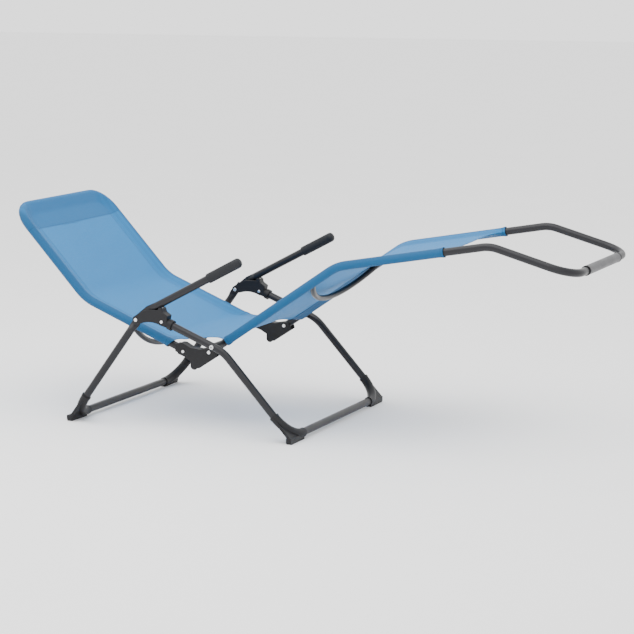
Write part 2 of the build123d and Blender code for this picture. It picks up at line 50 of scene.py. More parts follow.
# ---- the part's own dimensions, as in its source ----
TUBE_R = 0.011
BODY_Y = 0.245
STAND_Y = 0.310
HINGE = (-0.417, 0.321)
PIVOT = (-0.172, 0.259)
KNEE = (0.1849, 0.5035)
BACK_RIVET = (-0.298, 0.227)
BACK_BEND = (-0.632, 0.3586)
HEAD_BAR = (-0.873, 0.615)
SLING_FOOT = (0.505, 0.5621)
KNEE_BEND_R = 0.130
BACK_BEND_R = 0.140
CORNER_R = 0.070
ARM_SLOPE = radians(28.0)
ARM_OFFSET = 0.0088
GRIP_START = 0.267
GRIP_LENGTH = 0.116
GRIP_R = 0.0145
CROSS_BOW = 0.098
CROSS_TUBES = (          # side line's start and end, distance along it, direction of the bow
    (PIVOT, KNEE, 0.344, radians(-127.0)),
    (BACK_RIVET, BACK_BEND, 0.192, radians(-100.0)),
)


# ---- camera, floor and light ----
CAMERA_AT = (2.534, -5.365, 1.327)
CAMERA_AZIMUTH = radians(25.21)
CAMERA_ELEVATION = radians(9.73)
SENSOR_MM = 36.0
LENS_MM = 116.3
WORLD_STRENGTH = 1.9
FLOOR_HALF = 30.0


def add_camera():
    data = bpy.data.cameras.new("camera")
    data.sensor_width = SENSOR_MM
    data.lens = LENS_MM
    data.clip_start, data.clip_end = 0.1, 100.0
    camera = bpy.data.objects.new("camera", data)
    camera.location = CAMERA_AT
    look = Vector((
        -sin(CAMERA_AZIMUTH) * cos(CAMERA_ELEVATION),
        cos(CAMERA_AZIMUTH) * cos(CAMERA_ELEVATION),
        -sin(CAMERA_ELEVATION),
    ))
    camera.rotation_euler = look.to_track_quat("-Z", "Y").to_euler()
    bpy.context.collection.objects.link(camera)
    bpy.context.scene.camera = camera


def add_area_light(name, place, target, size, power):
    data = bpy.data.lights.new(name, "AREA")
    data.shape = "SQUARE"
    data.size = size
    data.energy = power
    light = bpy.data.objects.new(name, data)
    light.location = place
    light.rotation_euler = (Vector(target) - Vector(place)).to_track_quat("-Z", "Y").to_euler()
    bpy.context.collection.objects.link(light)


def add_world(strength):
    world = bpy.data.worlds.new("studio")
    world.use_nodes = True
    background = world.node_tree.nodes["Background"]
    background.inputs["Color"].default_value = (1.0, 1.0, 1.0, 1.0)
    background.inputs["Strength"].default_value = strength
    bpy.context.scene.world = world


# ---- small node helpers ----
class Nodes:
    """Builds one material's node tree."""

    def __init__(self, name):
        self.material = bpy.data.materials.new(name)
        self.material.use_nodes = True
        self.tree = self.material.node_tree
        self.shader = self.tree.nodes["Principled BSDF"]

    def put(self, value, socket):
        if isinstance(value, bpy.types.NodeSocket):
            self.tree.links.new(value, socket)
        else:
            socket.default_value = value

    def math(self, operation, *values):
        node = self.tree.nodes.new("ShaderNodeMath")
        node.operation = operation
        for value, socket in zip(values, node.inputs):
            self.put(value, socket)
        return node.outputs[0]

    def mix(self, factor, a, b):
        node = self.tree.nodes.new("ShaderNodeMix")
        node.data_type = "RGBA"
        self.put(factor, node.inputs[0])
        self.put(a, node.inputs[6])
        self.put(b, node.inputs[7])
        return node.outputs[2]

    def scaled(self, colour, factor):
        """The colour times a factor."""
        node = self.tree.nodes.new("ShaderNodeVectorMath")
        node.operation = "SCALE"
        self.put(colour, node.inputs[0])
        self.put(factor, node.inputs["Scale"])
        return node.outputs[0]

    def noise(self, scale, detail=3.0, vector=None, roughness=0.5):
        node = self.tree.nodes.new("ShaderNodeTexNoise")
        node.inputs["Scale"].default_value = scale
        node.inputs["Detail"].default_value = detail
        node.inputs["Roughness"].default_value = roughness
        self.put(self.place() if vector is None else vector, node.inputs["Vector"])
        return node.outputs["Fac"]

    def place(self):
        node = self.tree.nodes.new("ShaderNodeTexCoord")
        return node.outputs["Object"]

    def split(self, vector):
        node = self.tree.nodes.new("ShaderNodeSeparateXYZ")
        self.put(vector, node.inputs[0])
        return node.outputs

    def uv(self, name):
        node = self.tree.nodes.new("ShaderNodeUVMap")
        node.uv_map = name
        return node.outputs[0]

    def attribute(self, name):
        node = self.tree.nodes.new("ShaderNodeAttribute")
        node.attribute_name = name
        return node.outputs["Fac"]

    def ramp(self, value, low, high, out_low=0.0, out_high=1.0):
        node = self.tree.nodes.new("ShaderNodeMapRange")
        for setting, socket in zip((value, low, high, out_low, out_high), node.inputs):
            self.put(setting, socket)
        return node.outputs[0]

    def line(self, value, centre, half_width):
        """1 on a line where value is centre, 0 beyond the half width."""
        away = self.math("ABSOLUTE", self.math("SUBTRACT", value, centre))
        return self.ramp(away, half_width * 0.6, half_width, 1.0, 0.0)

    def bump(self, height, strength, distance):
        node = self.tree.nodes.new("ShaderNodeBump")
        node.inputs["Strength"].default_value = strength
        node.inputs["Distance"].default_value = distance
        self.put(height, node.inputs["Height"])
        self.put(node.outputs[0], self.shader.inputs["Normal"])

    def set(self, **values):
        for name, value in values.items():
            self.put(value, self.shader.inputs[name.replace("_", " ")])


# ---- materials ----
def paint_material():
    """Anthracite powder coat: a fine orange peel, slightly uneven gloss, faint dust."""
    n = Nodes("anthracite_powder_coat")
    peel = n.noise(scale=900.0, detail=2.0)
    patches = n.noise(scale=14.0, detail=4.0)
    colour = n.mix(patches, (0.006, 0.006, 0.008, 1.0), (0.011, 0.011, 0.014, 1.0))
    n.set(Base_Color=colour, Roughness=n.ramp(patches, 0.3, 0.7, 0.30, 0.42))
    n.shader.inputs["Specular IOR Level"].default_value = 0.28
    n.shader.inputs["Coat Weight"].default_value = 0.05
    n.shader.inputs["Coat Roughness"].default_value = 0.3
    n.bump(peel, 0.12, 0.0003)
    return n.material


def tinted(colour, factor):
    """An opaque colour times a factor."""
    return tuple(c * factor for c in colour[:3]) + (1.0,)


def plastic_material(name, dark, light, roughness, grain=1400.0):
    """Moulded plastic: fine spark-eroded grain and worn, slightly greyed high spots."""
    n = Nodes(name)
    patches = n.noise(scale=22.0, detail=5.0)
    scuffs = n.ramp(n.noise(scale=160.0, detail=6.0, roughness=0.7), 0.56, 0.75, 0.0, 0.5)
    colour = n.mix(patches, dark, light)
    worn = n.mix(scuffs, colour, tinted(light, 2.2))
    n.set(Base_Color=worn, Roughness=n.ramp(patches, 0.3, 0.7, roughness - 0.06, roughness + 0.08))
    n.shader.inputs["Specular IOR Level"].default_value = 0.22
    n.bump(n.noise(scale=grain, detail=2.0), 0.25, 0.0002)
    return n.material


def steel_material():
    """Zinc-plated rivet steel with fine turning marks."""
    n = Nodes("bright_rivet_steel")
    marks = n.noise(scale=700.0, detail=3.0)
    n.set(
        Base_Color=n.mix(marks, (0.62, 0.62, 0.63, 1.0), (0.86, 0.86, 0.87, 1.0)),
        Roughness=n.ramp(marks, 0.2, 0.8, 0.22, 0.38),
    )
    n.shader.inputs["Metallic"].default_value = 1.0
    n.bump(marks, 0.08, 0.0002)
    return n.material


WEAVE_PITCH = 0.0026
SINGLE_PLY = (0.025, 0.184, 0.425, 1.0)
DOUBLE_PLY = (0.015, 0.129, 0.312, 1.0)
BORDER_EDGE = 0.198      # the sewn-down inner edge of the folded border
POCKET_EDGE = 0.090      # the seam of the head pocket, from the head bar
SEAMS = (0.2010, 0.2215, 0.2270)
SLEEVE_FROM = 0.236      # the cloth turns round the tube from here
HEM = 0.009              # width of the turned-in hems
EDGE_BLUR = 0.0015       # softness of a sewn edge's colour step
STITCH_HALF = 0.0011     # half width of a stitched line


def sling_material():
    """Coated mesh cloth: a plain weave, darker where it lies double, with sewn lines, and painted shade
    on the sleeves round the tubes.
    """
    n = Nodes("sling_mesh_cloth")
    across, length, _ = n.split(n.uv("cloth"))
    edge = n.attribute("hem")
    side = n.math("ABSOLUTE", across)
    turn = 2 * pi / WEAVE_PITCH
    warp = n.math("SINE", n.math("MULTIPLY", across, turn))
    weft = n.math("SINE", n.math("MULTIPLY", length, turn))
    weave = n.math("MULTIPLY", warp, weft)
    border = n.ramp(side, BORDER_EDGE - EDGE_BLUR, BORDER_EDGE + EDGE_BLUR)
    pocket = n.ramp(length, POCKET_EDGE - EDGE_BLUR, POCKET_EDGE + EDGE_BLUR, 1.0, 0.0)
    hem = n.ramp(edge, HEM, HEM + 0.002, 1.0, 0.0)
    # where the cloth turns round the tube; this mask also carries the painted shade on the sleeves
    # further down
    sleeve = n.ramp(side, SLEEVE_FROM, SLEEVE_FROM + 0.014)
    border = n.math("MULTIPLY", border, n.ramp(sleeve, 0.0, 1.0, 0.4, 1.0))
    double = n.math("MAXIMUM", border, pocket)
    double = n.math("MAXIMUM", double, n.math("MULTIPLY", hem, 0.7))

    seam = n.line(length, POCKET_EDGE - 0.003, 0.0012)
    for place in SEAMS:
        seam = n.math("MAXIMUM", seam, n.line(side, place, STITCH_HALF))
    seam = n.math("MAXIMUM", seam, n.line(edge, HEM - 0.002, STITCH_HALF))

    cloudy = n.noise(scale=9.0, detail=3.0)
    threads = n.noise(scale=420.0, detail=2.0)
    single_colour = n.mix(cloudy, SINGLE_PLY, tinted(SINGLE_PLY, 0.93))
    double_colour = n.mix(threads, DOUBLE_PLY, tinted(DOUBLE_PLY, 0.88))
    colour = n.mix(double, single_colour, double_colour)
    colour = n.scaled(colour, n.ramp(weave, -1.0, 1.0, 0.86, 1.10))
    colour = n.scaled(colour, n.ramp(seam, 0.0, 1.0, 1.0, 0.78))
    # painted shade: the cloth round the tubes is darkened to stand in for the shade on the sleeves'
    # sides
    colour = n.scaled(colour, n.ramp(sleeve, 0.0, 1.0, 1.0, 0.66))
    n.set(Base_Color=colour, Roughness=n.ramp(weave, -1.0, 1.0, 0.70, 0.52))
    n.shader.inputs["Sheen Weight"].default_value = 0.02
    n.shader.inputs["Sheen Roughness"].default_value = 0.5
    n.shader.inputs["Specular IOR Level"].default_value = 0.15
    height = n.math("SUBTRACT", weave, n.math("MULTIPLY", seam, 2.5))
    n.bump(n.math("ADD", height, n.math("MULTIPLY", threads, 0.5)), 0.45, 0.0004)
    return n.material


def floor_material():
    n = Nodes("studio_floor")
    pale = n.mix(n.noise(scale=3.0), (0.90, 0.90, 0.90, 1.0), (0.93, 0.93, 0.93, 1.0))
    n.set(Base_Color=pale, Roughness=0.85)
    return n.material


# ---- mesh helpers ----
def new_object(name, vertices, faces, material):
    mesh = bpy.data.meshes.new(name)
    mesh.from_pydata([tuple(v) for v in vertices], [], faces)
    mesh.materials.append(material)
    obj = bpy.data.objects.new(name, mesh)
    bpy.context.collection.objects.link(obj)
    return obj


def smooth(obj, angle):
    obj.data.polygons.foreach_set("use_smooth", [True] * len(obj.data.polygons))
    obj.data.set_sharp_from_angle(angle=radians(angle))


def apply_modifiers(obj):
    graph = bpy.context.evaluated_depsgraph_get()
    mesh = bpy.data.meshes.new_from_object(
        obj.evaluated_get(graph), preserve_all_data_layers=True, depsgraph=graph
    )
    obj.modifiers.clear()
    obj.data = mesh


def smoothstep(value, low, high):
    t = np.clip((np.asarray(value, float) - low) / (high - low), 0.0, 1.0)
    return t * t * (3 - 2 * t)


# ---- side-view paths ----
def bent_path(points, radii):
    """Distance, x, z and slope along straight runs joined by tangent arcs."""
    points = [np.array(p, float) for p in points]
    places = [points[0]]
    slopes = [atan2(*(points[1] - points[0])[::-1])]
    for before, here, after, radius in zip(points, points[1:], points[2:], radii):
        first = atan2(*(here - before)[::-1])
        turn = (atan2(*(after - here)[::-1]) - first + pi) % (2 * pi) - pi
        start = here - np.array([cos(first), sin(first)]) * radius * tan(abs(turn) / 2)
        side = 1.0 if turn > 0 else -1.0
        centre = start + np.array([-sin(first), cos(first)]) * radius * side
        for step in np.linspace(0, turn, 25):
            a = first + step
            places.append(centre + np.array([sin(a), -cos(a)]) * radius * side)
            slopes.append(a)
    places.append(points[-1])
    slopes.append(slopes[-1])
    places = np.array(places)
    gaps = np.hypot(*np.diff(places, axis=0).T)
    return np.concatenate([[0], np.cumsum(gaps)]), places[:, 0], places[:, 1], np.array(slopes)


class Path:
    def __init__(self, points, radii):
        self.s, self.x, self.z, self.slope = bent_path(points, radii)
        self.length = self.s[-1]

    def frame_at(self, s):
        """Point, direction and upward normal, for an array of distances."""
        x, z, a = (np.interp(s, self.s, v) for v in (self.x, self.z, self.slope))
        zero = np.zeros_like(x)
        point = np.stack([x, zero, z], -1)
        along = np.stack([np.cos(a), zero, np.sin(a)], -1)
        return point, along, np.stack([-np.sin(a), zero, np.cos(a)], -1)

    def nearest(self, point):
        """Distance along the path of the sample nearest a side-view point."""
        s = np.linspace(0, self.length, 8001)
        x, z = np.interp(s, self.s, self.x), np.interp(s, self.s, self.z)
        return s[np.argmin((x - point[0]) ** 2 + (z - point[1]) ** 2)]


def direction(start, end):
    d = np.array(end, float) - np.array(start, float)
    return d / np.hypot(*d)


def on_line(start, end, distance):
    return tuple(np.array(start) + direction(start, end) * distance)


# ---- the sling: one sheet of mesh cloth, folded round the tubes and sewn down ----
SLEEVE_R = 0.0122        # the cloth's middle surface round the tube
FLAP = 0.047             # the fold's sewn edge, in from the tube's centre line
MERGE = 0.034            # where the two layers come off the tube and meet
LAYER_GAP = 0.0013       # between the middles of two sewn layers
CLOTH_THICKNESS = 0.0009
PANEL_HALF = BODY_Y - FLAP
INNER_CORNER_R = CORNER_R - FLAP
ROW = 0.0055             # length of the panel's mesh rows
MOUTH_ROW = 0.0022       # and just before the leg sleeves' mouths
SEAT_BACK = on_line(BACK_RIVET, BACK_BEND, 0.083)    # the cloth leaves the back tube here
SEAT_FRONT = on_line(PIVOT, KNEE, -0.002)            # and meets the leg tube here
FOOT_NOTCH = 0.050       # depth of the curved foot edge
FOOT_POWER = 5           # how square its ends are
FOOT_CORNER = 0.012      # how far its ends stay in from the tubes' centre lines
FOLD_CORNER = 0.0125     # the same for the folds' sewn edges
FOLD_MIN = 0.0137        # the folds' least width there
LEG_LEAD = 0.060         # the leg line starts this far before the pivot

sling_path = Path(
    [HEAD_BAR, BACK_BEND, SEAT_BACK, SEAT_FRONT, KNEE, SLING_FOOT],
    [BACK_BEND_R, 0.070, 0.045, KNEE_BEND_R],
)
back_line = Path([HEAD_BAR, BACK_BEND, BACK_RIVET], [BACK_BEND_R])
leg_line = Path([on_line(PIVOT, KNEE, -LEG_LEAD), KNEE, SLING_FOOT], [KNEE_BEND_R])
FOOT_END = sling_path.length
LEG_SHIFT = leg_line.length - FOOT_END               # leg line's distance less the sheet's
BACK_MOUTH = back_line.length - 0.055                # the back sleeves open before the rivet
LEG_MOUTH = LEG_LEAD + 0.014 - LEG_SHIFT             # and the leg sleeves past the pivot

# the cut-outs: the half width of the cloth between the knuckles
CUT_HALF = 0.170         # at the middle
CUT_END_HALF = 0.231     # at both ends
CUT_REACH = 0.065        # from the middle to an end
CUT_POWER = 1.8
BACK_WIDEN = 0.024       # the free cloth's extra half width where it leaves the back sleeves
CUT_MIDDLE = sling_path.nearest((-0.240, SEAT_BACK[1]))
CUT_START, CUT_END = CUT_MIDDLE - CUT_REACH, CUT_MIDDLE + CUT_REACH
# where the cut-out reaches in past the line of the folds' sewn edges
CUT_INNER = CUT_REACH * ((PANEL_HALF - CUT_HALF) / (CUT_END_HALF - CUT_HALF)) ** (1 / CUT_POWER)

LAP_R = 0.330            # the free cloth's bend between the seat and the thighs
LAP_REACH = 0.097        # and how far it reaches along the cloth on each side


def free_half(s):
    """Half width to the free edge between the sleeves' mouths."""
    away = np.abs(s - CUT_MIDDLE) / CUT_REACH
    cut = CUT_HALF + (CUT_END_HALF - CUT_HALF) * away ** CUT_POWER
    back = np.clip((CUT_START - s) / (CUT_START - BACK_MOUTH), 0.0, 1.0)
    return np.where(s < CUT_START, CUT_END_HALF + BACK_WIDEN * back ** 2, cut)


def foot_depth(y):
    """How far the foot edge lies back from the sleeves' ends."""
    share = np.clip(np.abs(y) / (BODY_Y - FOOT_CORNER), 0.0, 1.0)
    return FOOT_NOTCH * np.sqrt(1 - share ** FOOT_POWER)


def sag(s):
    """How far the middle of the panel hangs below the tubes."""
    knots = (            # distance down the sheet, depth
        (0.0, 0.0),
        (0.047, 0.0),
        (0.25, 0.008),
        (0.46, 0.005),
        (CUT_START, 0.001),
        (LEG_MOUTH, 0.0),
        (LEG_MOUTH + 0.15, 0.006),
        (sling_path.nearest(KNEE), 0.011),
        (FOOT_END, 0.007),
    )
    places, depths = zip(*knots)
    fine = np.linspace(0, FOOT_END, 400)
    rough = np.interp(fine, places, depths)
    kernel = np.hanning(41)
    padded = np.pad(rough, 20, mode="edge")
    return np.interp(s, fine, np.convolve(padded, kernel / kernel.sum(), mode="valid"))


def fold_lift(s):
    """How far the taut middle cuts the corner between the seat and the thighs."""
    away = np.clip(LAP_REACH - np.abs(s - sling_path.nearest(SEAT_FRONT)), 0.0, LAP_REACH)
    return away ** 2 / (2 * LAP_R)


class Cloth:
    """Gathers patches of the sheet: positions, flat cloth coordinates and edge distance."""

    def __init__(self):
        self.points, self.flat, self.hem, self.faces = [], [], [], []

    def grid(self, points, flat, hem):
        """Adds a grid of points, rows by columns, with its faces."""
        rows, columns = points.shape[:2]
        first = len(self.points)
        self.points.extend(points.reshape(-1, 3))
        self.flat.extend(flat.reshape(-1, 2))
        self.hem.extend(np.broadcast_to(hem, (rows, columns)).reshape(-1))
        for r in range(rows - 1):
            for c in range(columns - 1):
                a = first + r * columns + c
                self.faces.append((a, a + 1, a + columns + 1, a + columns))


def section(inner, radius, lift=0.0):
    """The fold's cross-section, from its inner edge on top, round the tube, to below.

    The inner edge lies a lift above the tube's centre. Returns distances in from the
    tube's centre line, heights, and length along the cloth.
    """
    merge = min(MERGE, inner - 0.0005)
    tilt = atan2(lift, merge)
    meet = acos(min(0.995, radius / hypot(merge, lift)))
    high = np.array([cos(tilt + meet), sin(tilt + meet)]) * radius
    low = np.array([cos(tilt - meet), sin(tilt - meet)]) * radius
    under = lift - LAYER_GAP
    top = [np.linspace([inner, lift], [merge, lift], 3)[:-1]]
    top.append(np.linspace([merge, lift], high, 6)[:-1])
    turn = np.linspace(tilt + meet, 2 * pi + tilt - meet, 17)
    ring = np.stack([np.cos(turn), np.sin(turn)], -1) * radius
    bottom = [np.linspace(low, [merge, under], 6)[1:]]
    bottom.append(np.linspace([merge, under], [inner, under], 3)[1:])
    outline = np.concatenate(top + [ring] + bottom)
    steps = np.hypot(*np.diff(outline, axis=0).T)
    return outline[:, 0], outline[:, 1], np.concatenate([[0], np.cumsum(steps)])


FAR = 0.05               # hem distances beyond this don't matter
ACROSS = np.array([0.0, 1.0, 0.0])
HALF_SECTION = 16        # points from an edge of the section to its outermost one
HEM_BULGE = 0.0006       # the sleeve's extra radius over its hem
MOUTH_FLARE = 0.0011     # and where it opens
FLARE_REACH = 0.022
FOLD_OUT = 0.024         # the cloth goes from round the tube to flat over this length


def mouth_radius(away):
    """Radius of the sleeve, a little wider where its hem is turned in."""
    hemmed = HEM_BULGE * float(smoothstep(away, HEM + 0.001, HEM - 0.001))
    return SLEEVE_R + hemmed + MOUTH_FLARE * float(smoothstep(away, FLARE_REACH, 0.0))


def fold_curve(row, radius):
    """The fold's section at one row of the tube, as points and lengths along the cloth."""
    d, h, run = section(row["inner"], radius, row["lift"])
    slide = row["slide"] * np.clip((d - radius) / (row["inner"] - radius), 0.0, 1.0)
    points = row["centre"] + np.outer(d, row["inward"]) + np.outer(h, row["up"])
    return points + np.outer(slide, row["along"]), run


def fold_rows(cloth, rows):
    """Sweeps the fold's section along rows of tube centres."""
    points, flat, hem = [], [], []
    for row in rows:
        curve, run = fold_curve(row, mouth_radius(row["mouth"]))
        points.append(curve)
        flat.append(row["flat"] + np.outer(run, row["out"]))
        hem.append(np.full(len(run), min(row["mouth"], FAR)))
    cloth.grid(np.array(points), np.array(flat), np.array(hem))


def side_rows(side, s_rows, line, shift, mouths, inners=None):
    """Rows of a fold along a side tube; its inner edge stays on the panel's edge."""
    rows = []
    for i, s in enumerate(s_rows):
        centre, along, up = line.frame_at(s + shift)
        edge = sling_path.frame_at(s)[0]
        inner = FLAP if inners is None else inners[i]
        rows.append({
            "centre": centre + ACROSS * side * BODY_Y,
            "along": along,
            "up": up,
            "inward": -side * ACROSS,
            "inner": inner,
            "lift": float((edge - centre) @ up),
            "slide": float((edge - centre) @ along),
            "mouth": mouths[i],
            "flat": np.array([side * (BODY_Y - inner), s]),
            "out": np.array([float(side), 0.0]),
        })
    return rows


def head_rows(places, inwards):
    """Rows of the fold round the head, from (y, distance down the back) pairs."""
    middle, down, up = sling_path.frame_at(0.0)
    rows = []
    for place, inward in zip(places, inwards):
        place, inward = np.array(place), np.array(inward)
        rows.append({
            "centre": middle + ACROSS * place[0] + down * place[1],
            "along": down * 0.0,
            "up": up,
            "inward": ACROSS * inward[0] + down * inward[1],
            "inner": FLAP,
            "lift": 0.0,
            "slide": 0.0,
            "mouth": FAR,
            "flat": place + inward * FLAP,
            "out": -inward,
        })
    return rows


def flap(cloth, rows, cuts, levels, below=False):
    """Half of the fold, cut short at a distance from the panel's edge.

    At level 1 the cloth runs on flat from the panel, at level 0 it lies round the tube.
    """
    points, flat, hem = [], [], []
    for row, cut, level in zip(rows, cuts, levels):
        curve, run = fold_curve(row, mouth_radius(row["mouth"]))
        total = run[-1]
        if below:
            curve, run = curve[::-1], total - run[::-1]
        curve, run = curve[:HALF_SECTION], run[:HALF_SECTION]
        reach = run * (run[-1] if cut is None else cut) / run[-1]
        wrapped = np.stack([np.interp(reach, run, curve[:, k]) for k in range(3)], -1)
        flat_curve = curve[0] - np.outer(reach, row["inward"])
        points.append(wrapped * (1 - level) + flat_curve * level)
        across = total - reach if below else reach
        flat.append(row["flat"] + np.outer(across, row["out"]))
        hem.append(np.minimum(reach[-1] - reach, FAR))
    cloth.grid(np.array(points), np.array(flat), np.array(hem))


SIDE_COLUMNS = 22        # columns from the middle to the inner corner
ARC_COLUMNS = 8          # and round the corner
POCKET_STEPS = 7         # rows of the panel over the head pocket
POCKET_BACK_STEPS = 5    # and of the pocket's back layer
POCKET_BELLY = 0.0015    # how far that layer stands off
FOOT_ROWS_REACH = 0.11   # the rows turn to the foot edge's curve over this length
FOOT_STEPS = 12
RIPPLE = 0.0006          # slight unevenness of the taut cloth
SAG_GROWS = 0.07         # the sag and the ripple set in over these lengths from the head
RIPPLE_GROWS = 0.05
TINY = 1e-9


def panel_columns():
    """Places across the panel: even over the middle, then on the inner corner's arc."""
    arc = np.radians(np.linspace(0, 90, ARC_COLUMNS))
    corner_y = PANEL_HALF - INNER_CORNER_R
    middle = np.linspace(0, corner_y, SIDE_COLUMNS)[:-1]
    right = np.concatenate([middle, corner_y + INNER_CORNER_R * np.sin(arc)])
    return np.concatenate([-right[:0:-1], right]), arc, corner_y


def even(start, end, step):
    """Even places past the start up to the end, about a step apart."""
    count = max(2, int(round((end - start) / step)))
    return list(np.linspace(start, end, count + 1)[1:])


def panel_stations(foot_from):
    """Distances down the sheet of the panel's straight rows: each stop, and the step up to it."""
    stops = (
        (CUT_START - 0.075, ROW),
        (BACK_MOUTH, 0.003),
        (CUT_START, 0.003),
        (CUT_MIDDLE - CUT_INNER, 0.003),
        (CUT_MIDDLE + CUT_INNER, 0.0045),
        (CUT_END, 0.003),
        (LEG_MOUTH, MOUTH_ROW),
        (foot_from, ROW),
    )
    stations, place = [], POCKET_EDGE
    for stop, step in stops:
        stations += even(place, stop, step)
        place = stop
    return stations


def build_panel(cloth, columns, head_start):
    """The single layer between the folds. Returns the distances of its edge's rows."""
    pocket_depth = POCKET_EDGE - head_start
    pocket_rows = [head_start + pocket_depth * k / POCKET_STEPS for k in range(POCKET_STEPS + 1)]
    foot_from = FOOT_END - FOOT_ROWS_REACH
    foot_edge = FOOT_END - foot_depth(columns)
    rows = pocket_rows + [np.full(len(columns), s) for s in panel_stations(foot_from)]
    rows += [foot_from + (foot_edge - foot_from) * k / FOOT_STEPS for k in range(1, FOOT_STEPS + 1)]
    s = np.array(rows)
    open_edge = (s > BACK_MOUTH + TINY) & (s < LEG_MOUTH - TINY)
    free = np.where(open_edge, free_half(s), 1.0)
    y = columns * np.minimum(free, PANEL_HALF) / PANEL_HALF
    point, _, up = sling_path.frame_at(s)
    share = y / PANEL_HALF
    ripple = RIPPLE * np.sin(s * 61.0 + 3.0 * share) * np.sin(s * 23.0 + 5.0)
    depth = sag(s) * (1 - share ** 2) * smoothstep(s, head_start, head_start + SAG_GROWS)
    height = -depth + ripple * (1 - share ** 2) * smoothstep(s, head_start, head_start + RIPPLE_GROWS)
    height += fold_lift(s) * (1 - share ** 4)
    xyz = point + ACROSS * y[..., None] + up * height[..., None]
    hem = np.minimum(np.minimum(free - np.abs(y), foot_edge - s), FAR)
    cloth.grid(xyz, np.stack([y, s], -1), hem)
    return s[:, -1]


def build_back_fold(cloth, edge_s, columns, arc, corner_y):
    """The fold down one side, round the head and down the other side, as one strip."""
    run_s = edge_s[edge_s < BACK_MOUTH + TINY]
    sides = {side: side_rows(side, run_s, back_line, 0.0, BACK_MOUTH - run_s) for side in (-1, 1)}
    turn = pi / 2 - arc[::-1][1:]
    outer_y = BODY_Y - CORNER_R

    def corner(side):
        """From the side tube to the head bar."""
        y = side * (outer_y + CORNER_R * np.cos(turn))
        places = np.stack([y, CORNER_R * (1 - np.sin(turn))], -1)
        return head_rows(places, np.stack([-side * np.cos(turn), np.sin(turn)], -1))

    bar_y = columns[np.abs(columns) < corner_y - 1e-6]
    bar = head_rows(np.stack([bar_y, np.zeros_like(bar_y)], -1), np.tile([0.0, 1.0], (len(bar_y), 1)))
    fold_rows(cloth, sides[-1][::-1] + corner(-1) + bar + corner(1)[::-1] + sides[1])


def build_pocket(cloth, columns, head_start):
    """The back layer of the head pocket."""
    end = POCKET_EDGE + 0.002
    shares = [k / POCKET_BACK_STEPS for k in range(POCKET_BACK_STEPS + 1)]
    s = np.array([head_start + (end - head_start) * share for share in shares])
    y = np.tile(columns, (len(shares), 1))
    point, _, up = sling_path.frame_at(s)
    free = smoothstep(s, head_start, head_start + 0.02) * smoothstep(s, end, 0.075)
    height = -LAYER_GAP - POCKET_BELLY * free
    xyz = point + ACROSS * y[..., None] + up * height[..., None]
    cloth.grid(xyz, np.stack([y, 2 * (FLAP - POCKET_EDGE) - s], -1), np.clip(end - s, 0, FAR))


def build_leg_folds(cloth, edge_s):
    """The folds on the leg tubes, narrowed to the tube where the foot edge is cut back."""
    side_s = edge_s[edge_s > LEG_MOUTH - TINY]
    run_s = np.concatenate([side_s, np.linspace(side_s[-1], FOOT_END, 9)[1:]])
    back_off = np.clip((FOOT_END - run_s) / FOOT_NOTCH, 0.0, 1.0)
    share = (1 - back_off ** 2) ** (1 / FOOT_POWER)
    inner = np.minimum(FLAP, BODY_Y - (BODY_Y - FOLD_CORNER) * share)
    inner = np.maximum(inner, FOLD_MIN)
    inner[: len(side_s)] = FLAP
    mouths = np.minimum(FOOT_END - run_s, run_s - LEG_MOUTH)
    for side in (-1, 1):
        fold_rows(cloth, side_rows(side, run_s, leg_line, LEG_SHIFT, mouths, inner))


def build_flaps(cloth, edge_s):
    """The cloth between the sleeves' mouths and the cut-outs."""
    back_s = edge_s[(edge_s > BACK_MOUTH - TINY) & (edge_s < CUT_MIDDLE - CUT_INNER + TINY)]
    leg_s = edge_s[(edge_s > CUT_MIDDLE + CUT_INNER - TINY) & (edge_s < LEG_MOUTH + TINY)]
    under_s = leg_s[leg_s > CUT_END - 0.004]         # the lower layer starts just before this end
    past = leg_s > CUT_END
    end_reach = [CUT_END_HALF - PANEL_HALF, 0.050]
    top_reach = np.interp(leg_s, [CUT_END, LEG_MOUTH - MOUTH_ROW], end_reach)
    leg_cuts = list(np.where(past, top_reach, free_half(leg_s) - PANEL_HALF))
    leg_cuts[-1] = None
    leg_levels = smoothstep(leg_s, LEG_MOUTH - 0.003, CUT_END - FOLD_OUT)
    for side in (-1, 1):
        back_level = smoothstep(back_s, BACK_MOUTH, BACK_MOUTH + FOLD_OUT)
        wrapped = side_rows(side, back_s, back_line, 0.0, back_s - BACK_MOUTH)
        full = [fold_curve(row, mouth_radius(row["mouth"]))[1][HALF_SECTION - 1] for row in wrapped]
        reach = free_half(back_s) - PANEL_HALF
        cuts = np.array(full) * (1 - back_level) + reach * back_level
        flap(cloth, wrapped, [None] + list(cuts[1:]), back_level)
        rows = side_rows(side, leg_s, leg_line, LEG_SHIFT, LEG_MOUTH - leg_s)
        flap(cloth, rows, leg_cuts, leg_levels)
        first = len(leg_s) - len(under_s)
        flap(cloth, rows[first:], leg_cuts[first:], leg_levels[first:], below=True)


def build_sling(material):
    cloth = Cloth()
    columns, arc, corner_y = panel_columns()
    beyond = np.clip(np.abs(columns) - corner_y, 0, INNER_CORNER_R)
    head_start = FLAP + INNER_CORNER_R - np.sqrt(INNER_CORNER_R ** 2 - beyond ** 2)
    edge_s = build_panel(cloth, columns, head_start)
    build_back_fold(cloth, edge_s, columns, arc, corner_y)
    build_pocket(cloth, columns, head_start)
    build_leg_folds(cloth, edge_s)
    build_flaps(cloth, edge_s)

    sling = new_object("sling", cloth.points, cloth.faces, material)
    layer = sling.data.uv_layers.new(name="cloth")
    loops = np.zeros(len(sling.data.loops), np.int32)
    sling.data.loops.foreach_get("vertex_index", loops)
    layer.data.foreach_set("uv", np.array(cloth.flat)[loops].astype(np.float32).reshape(-1))
    hem = sling.data.attributes.new("hem", "FLOAT", "POINT")
    hem.data.foreach_set("value", np.array(cloth.hem, np.float32))
    return sling


SLIT_R = 0.0093          # the cloth is drawn back this far from a cross tube's centre line
SLIT_FACES = 0.0086      # and cut away within this


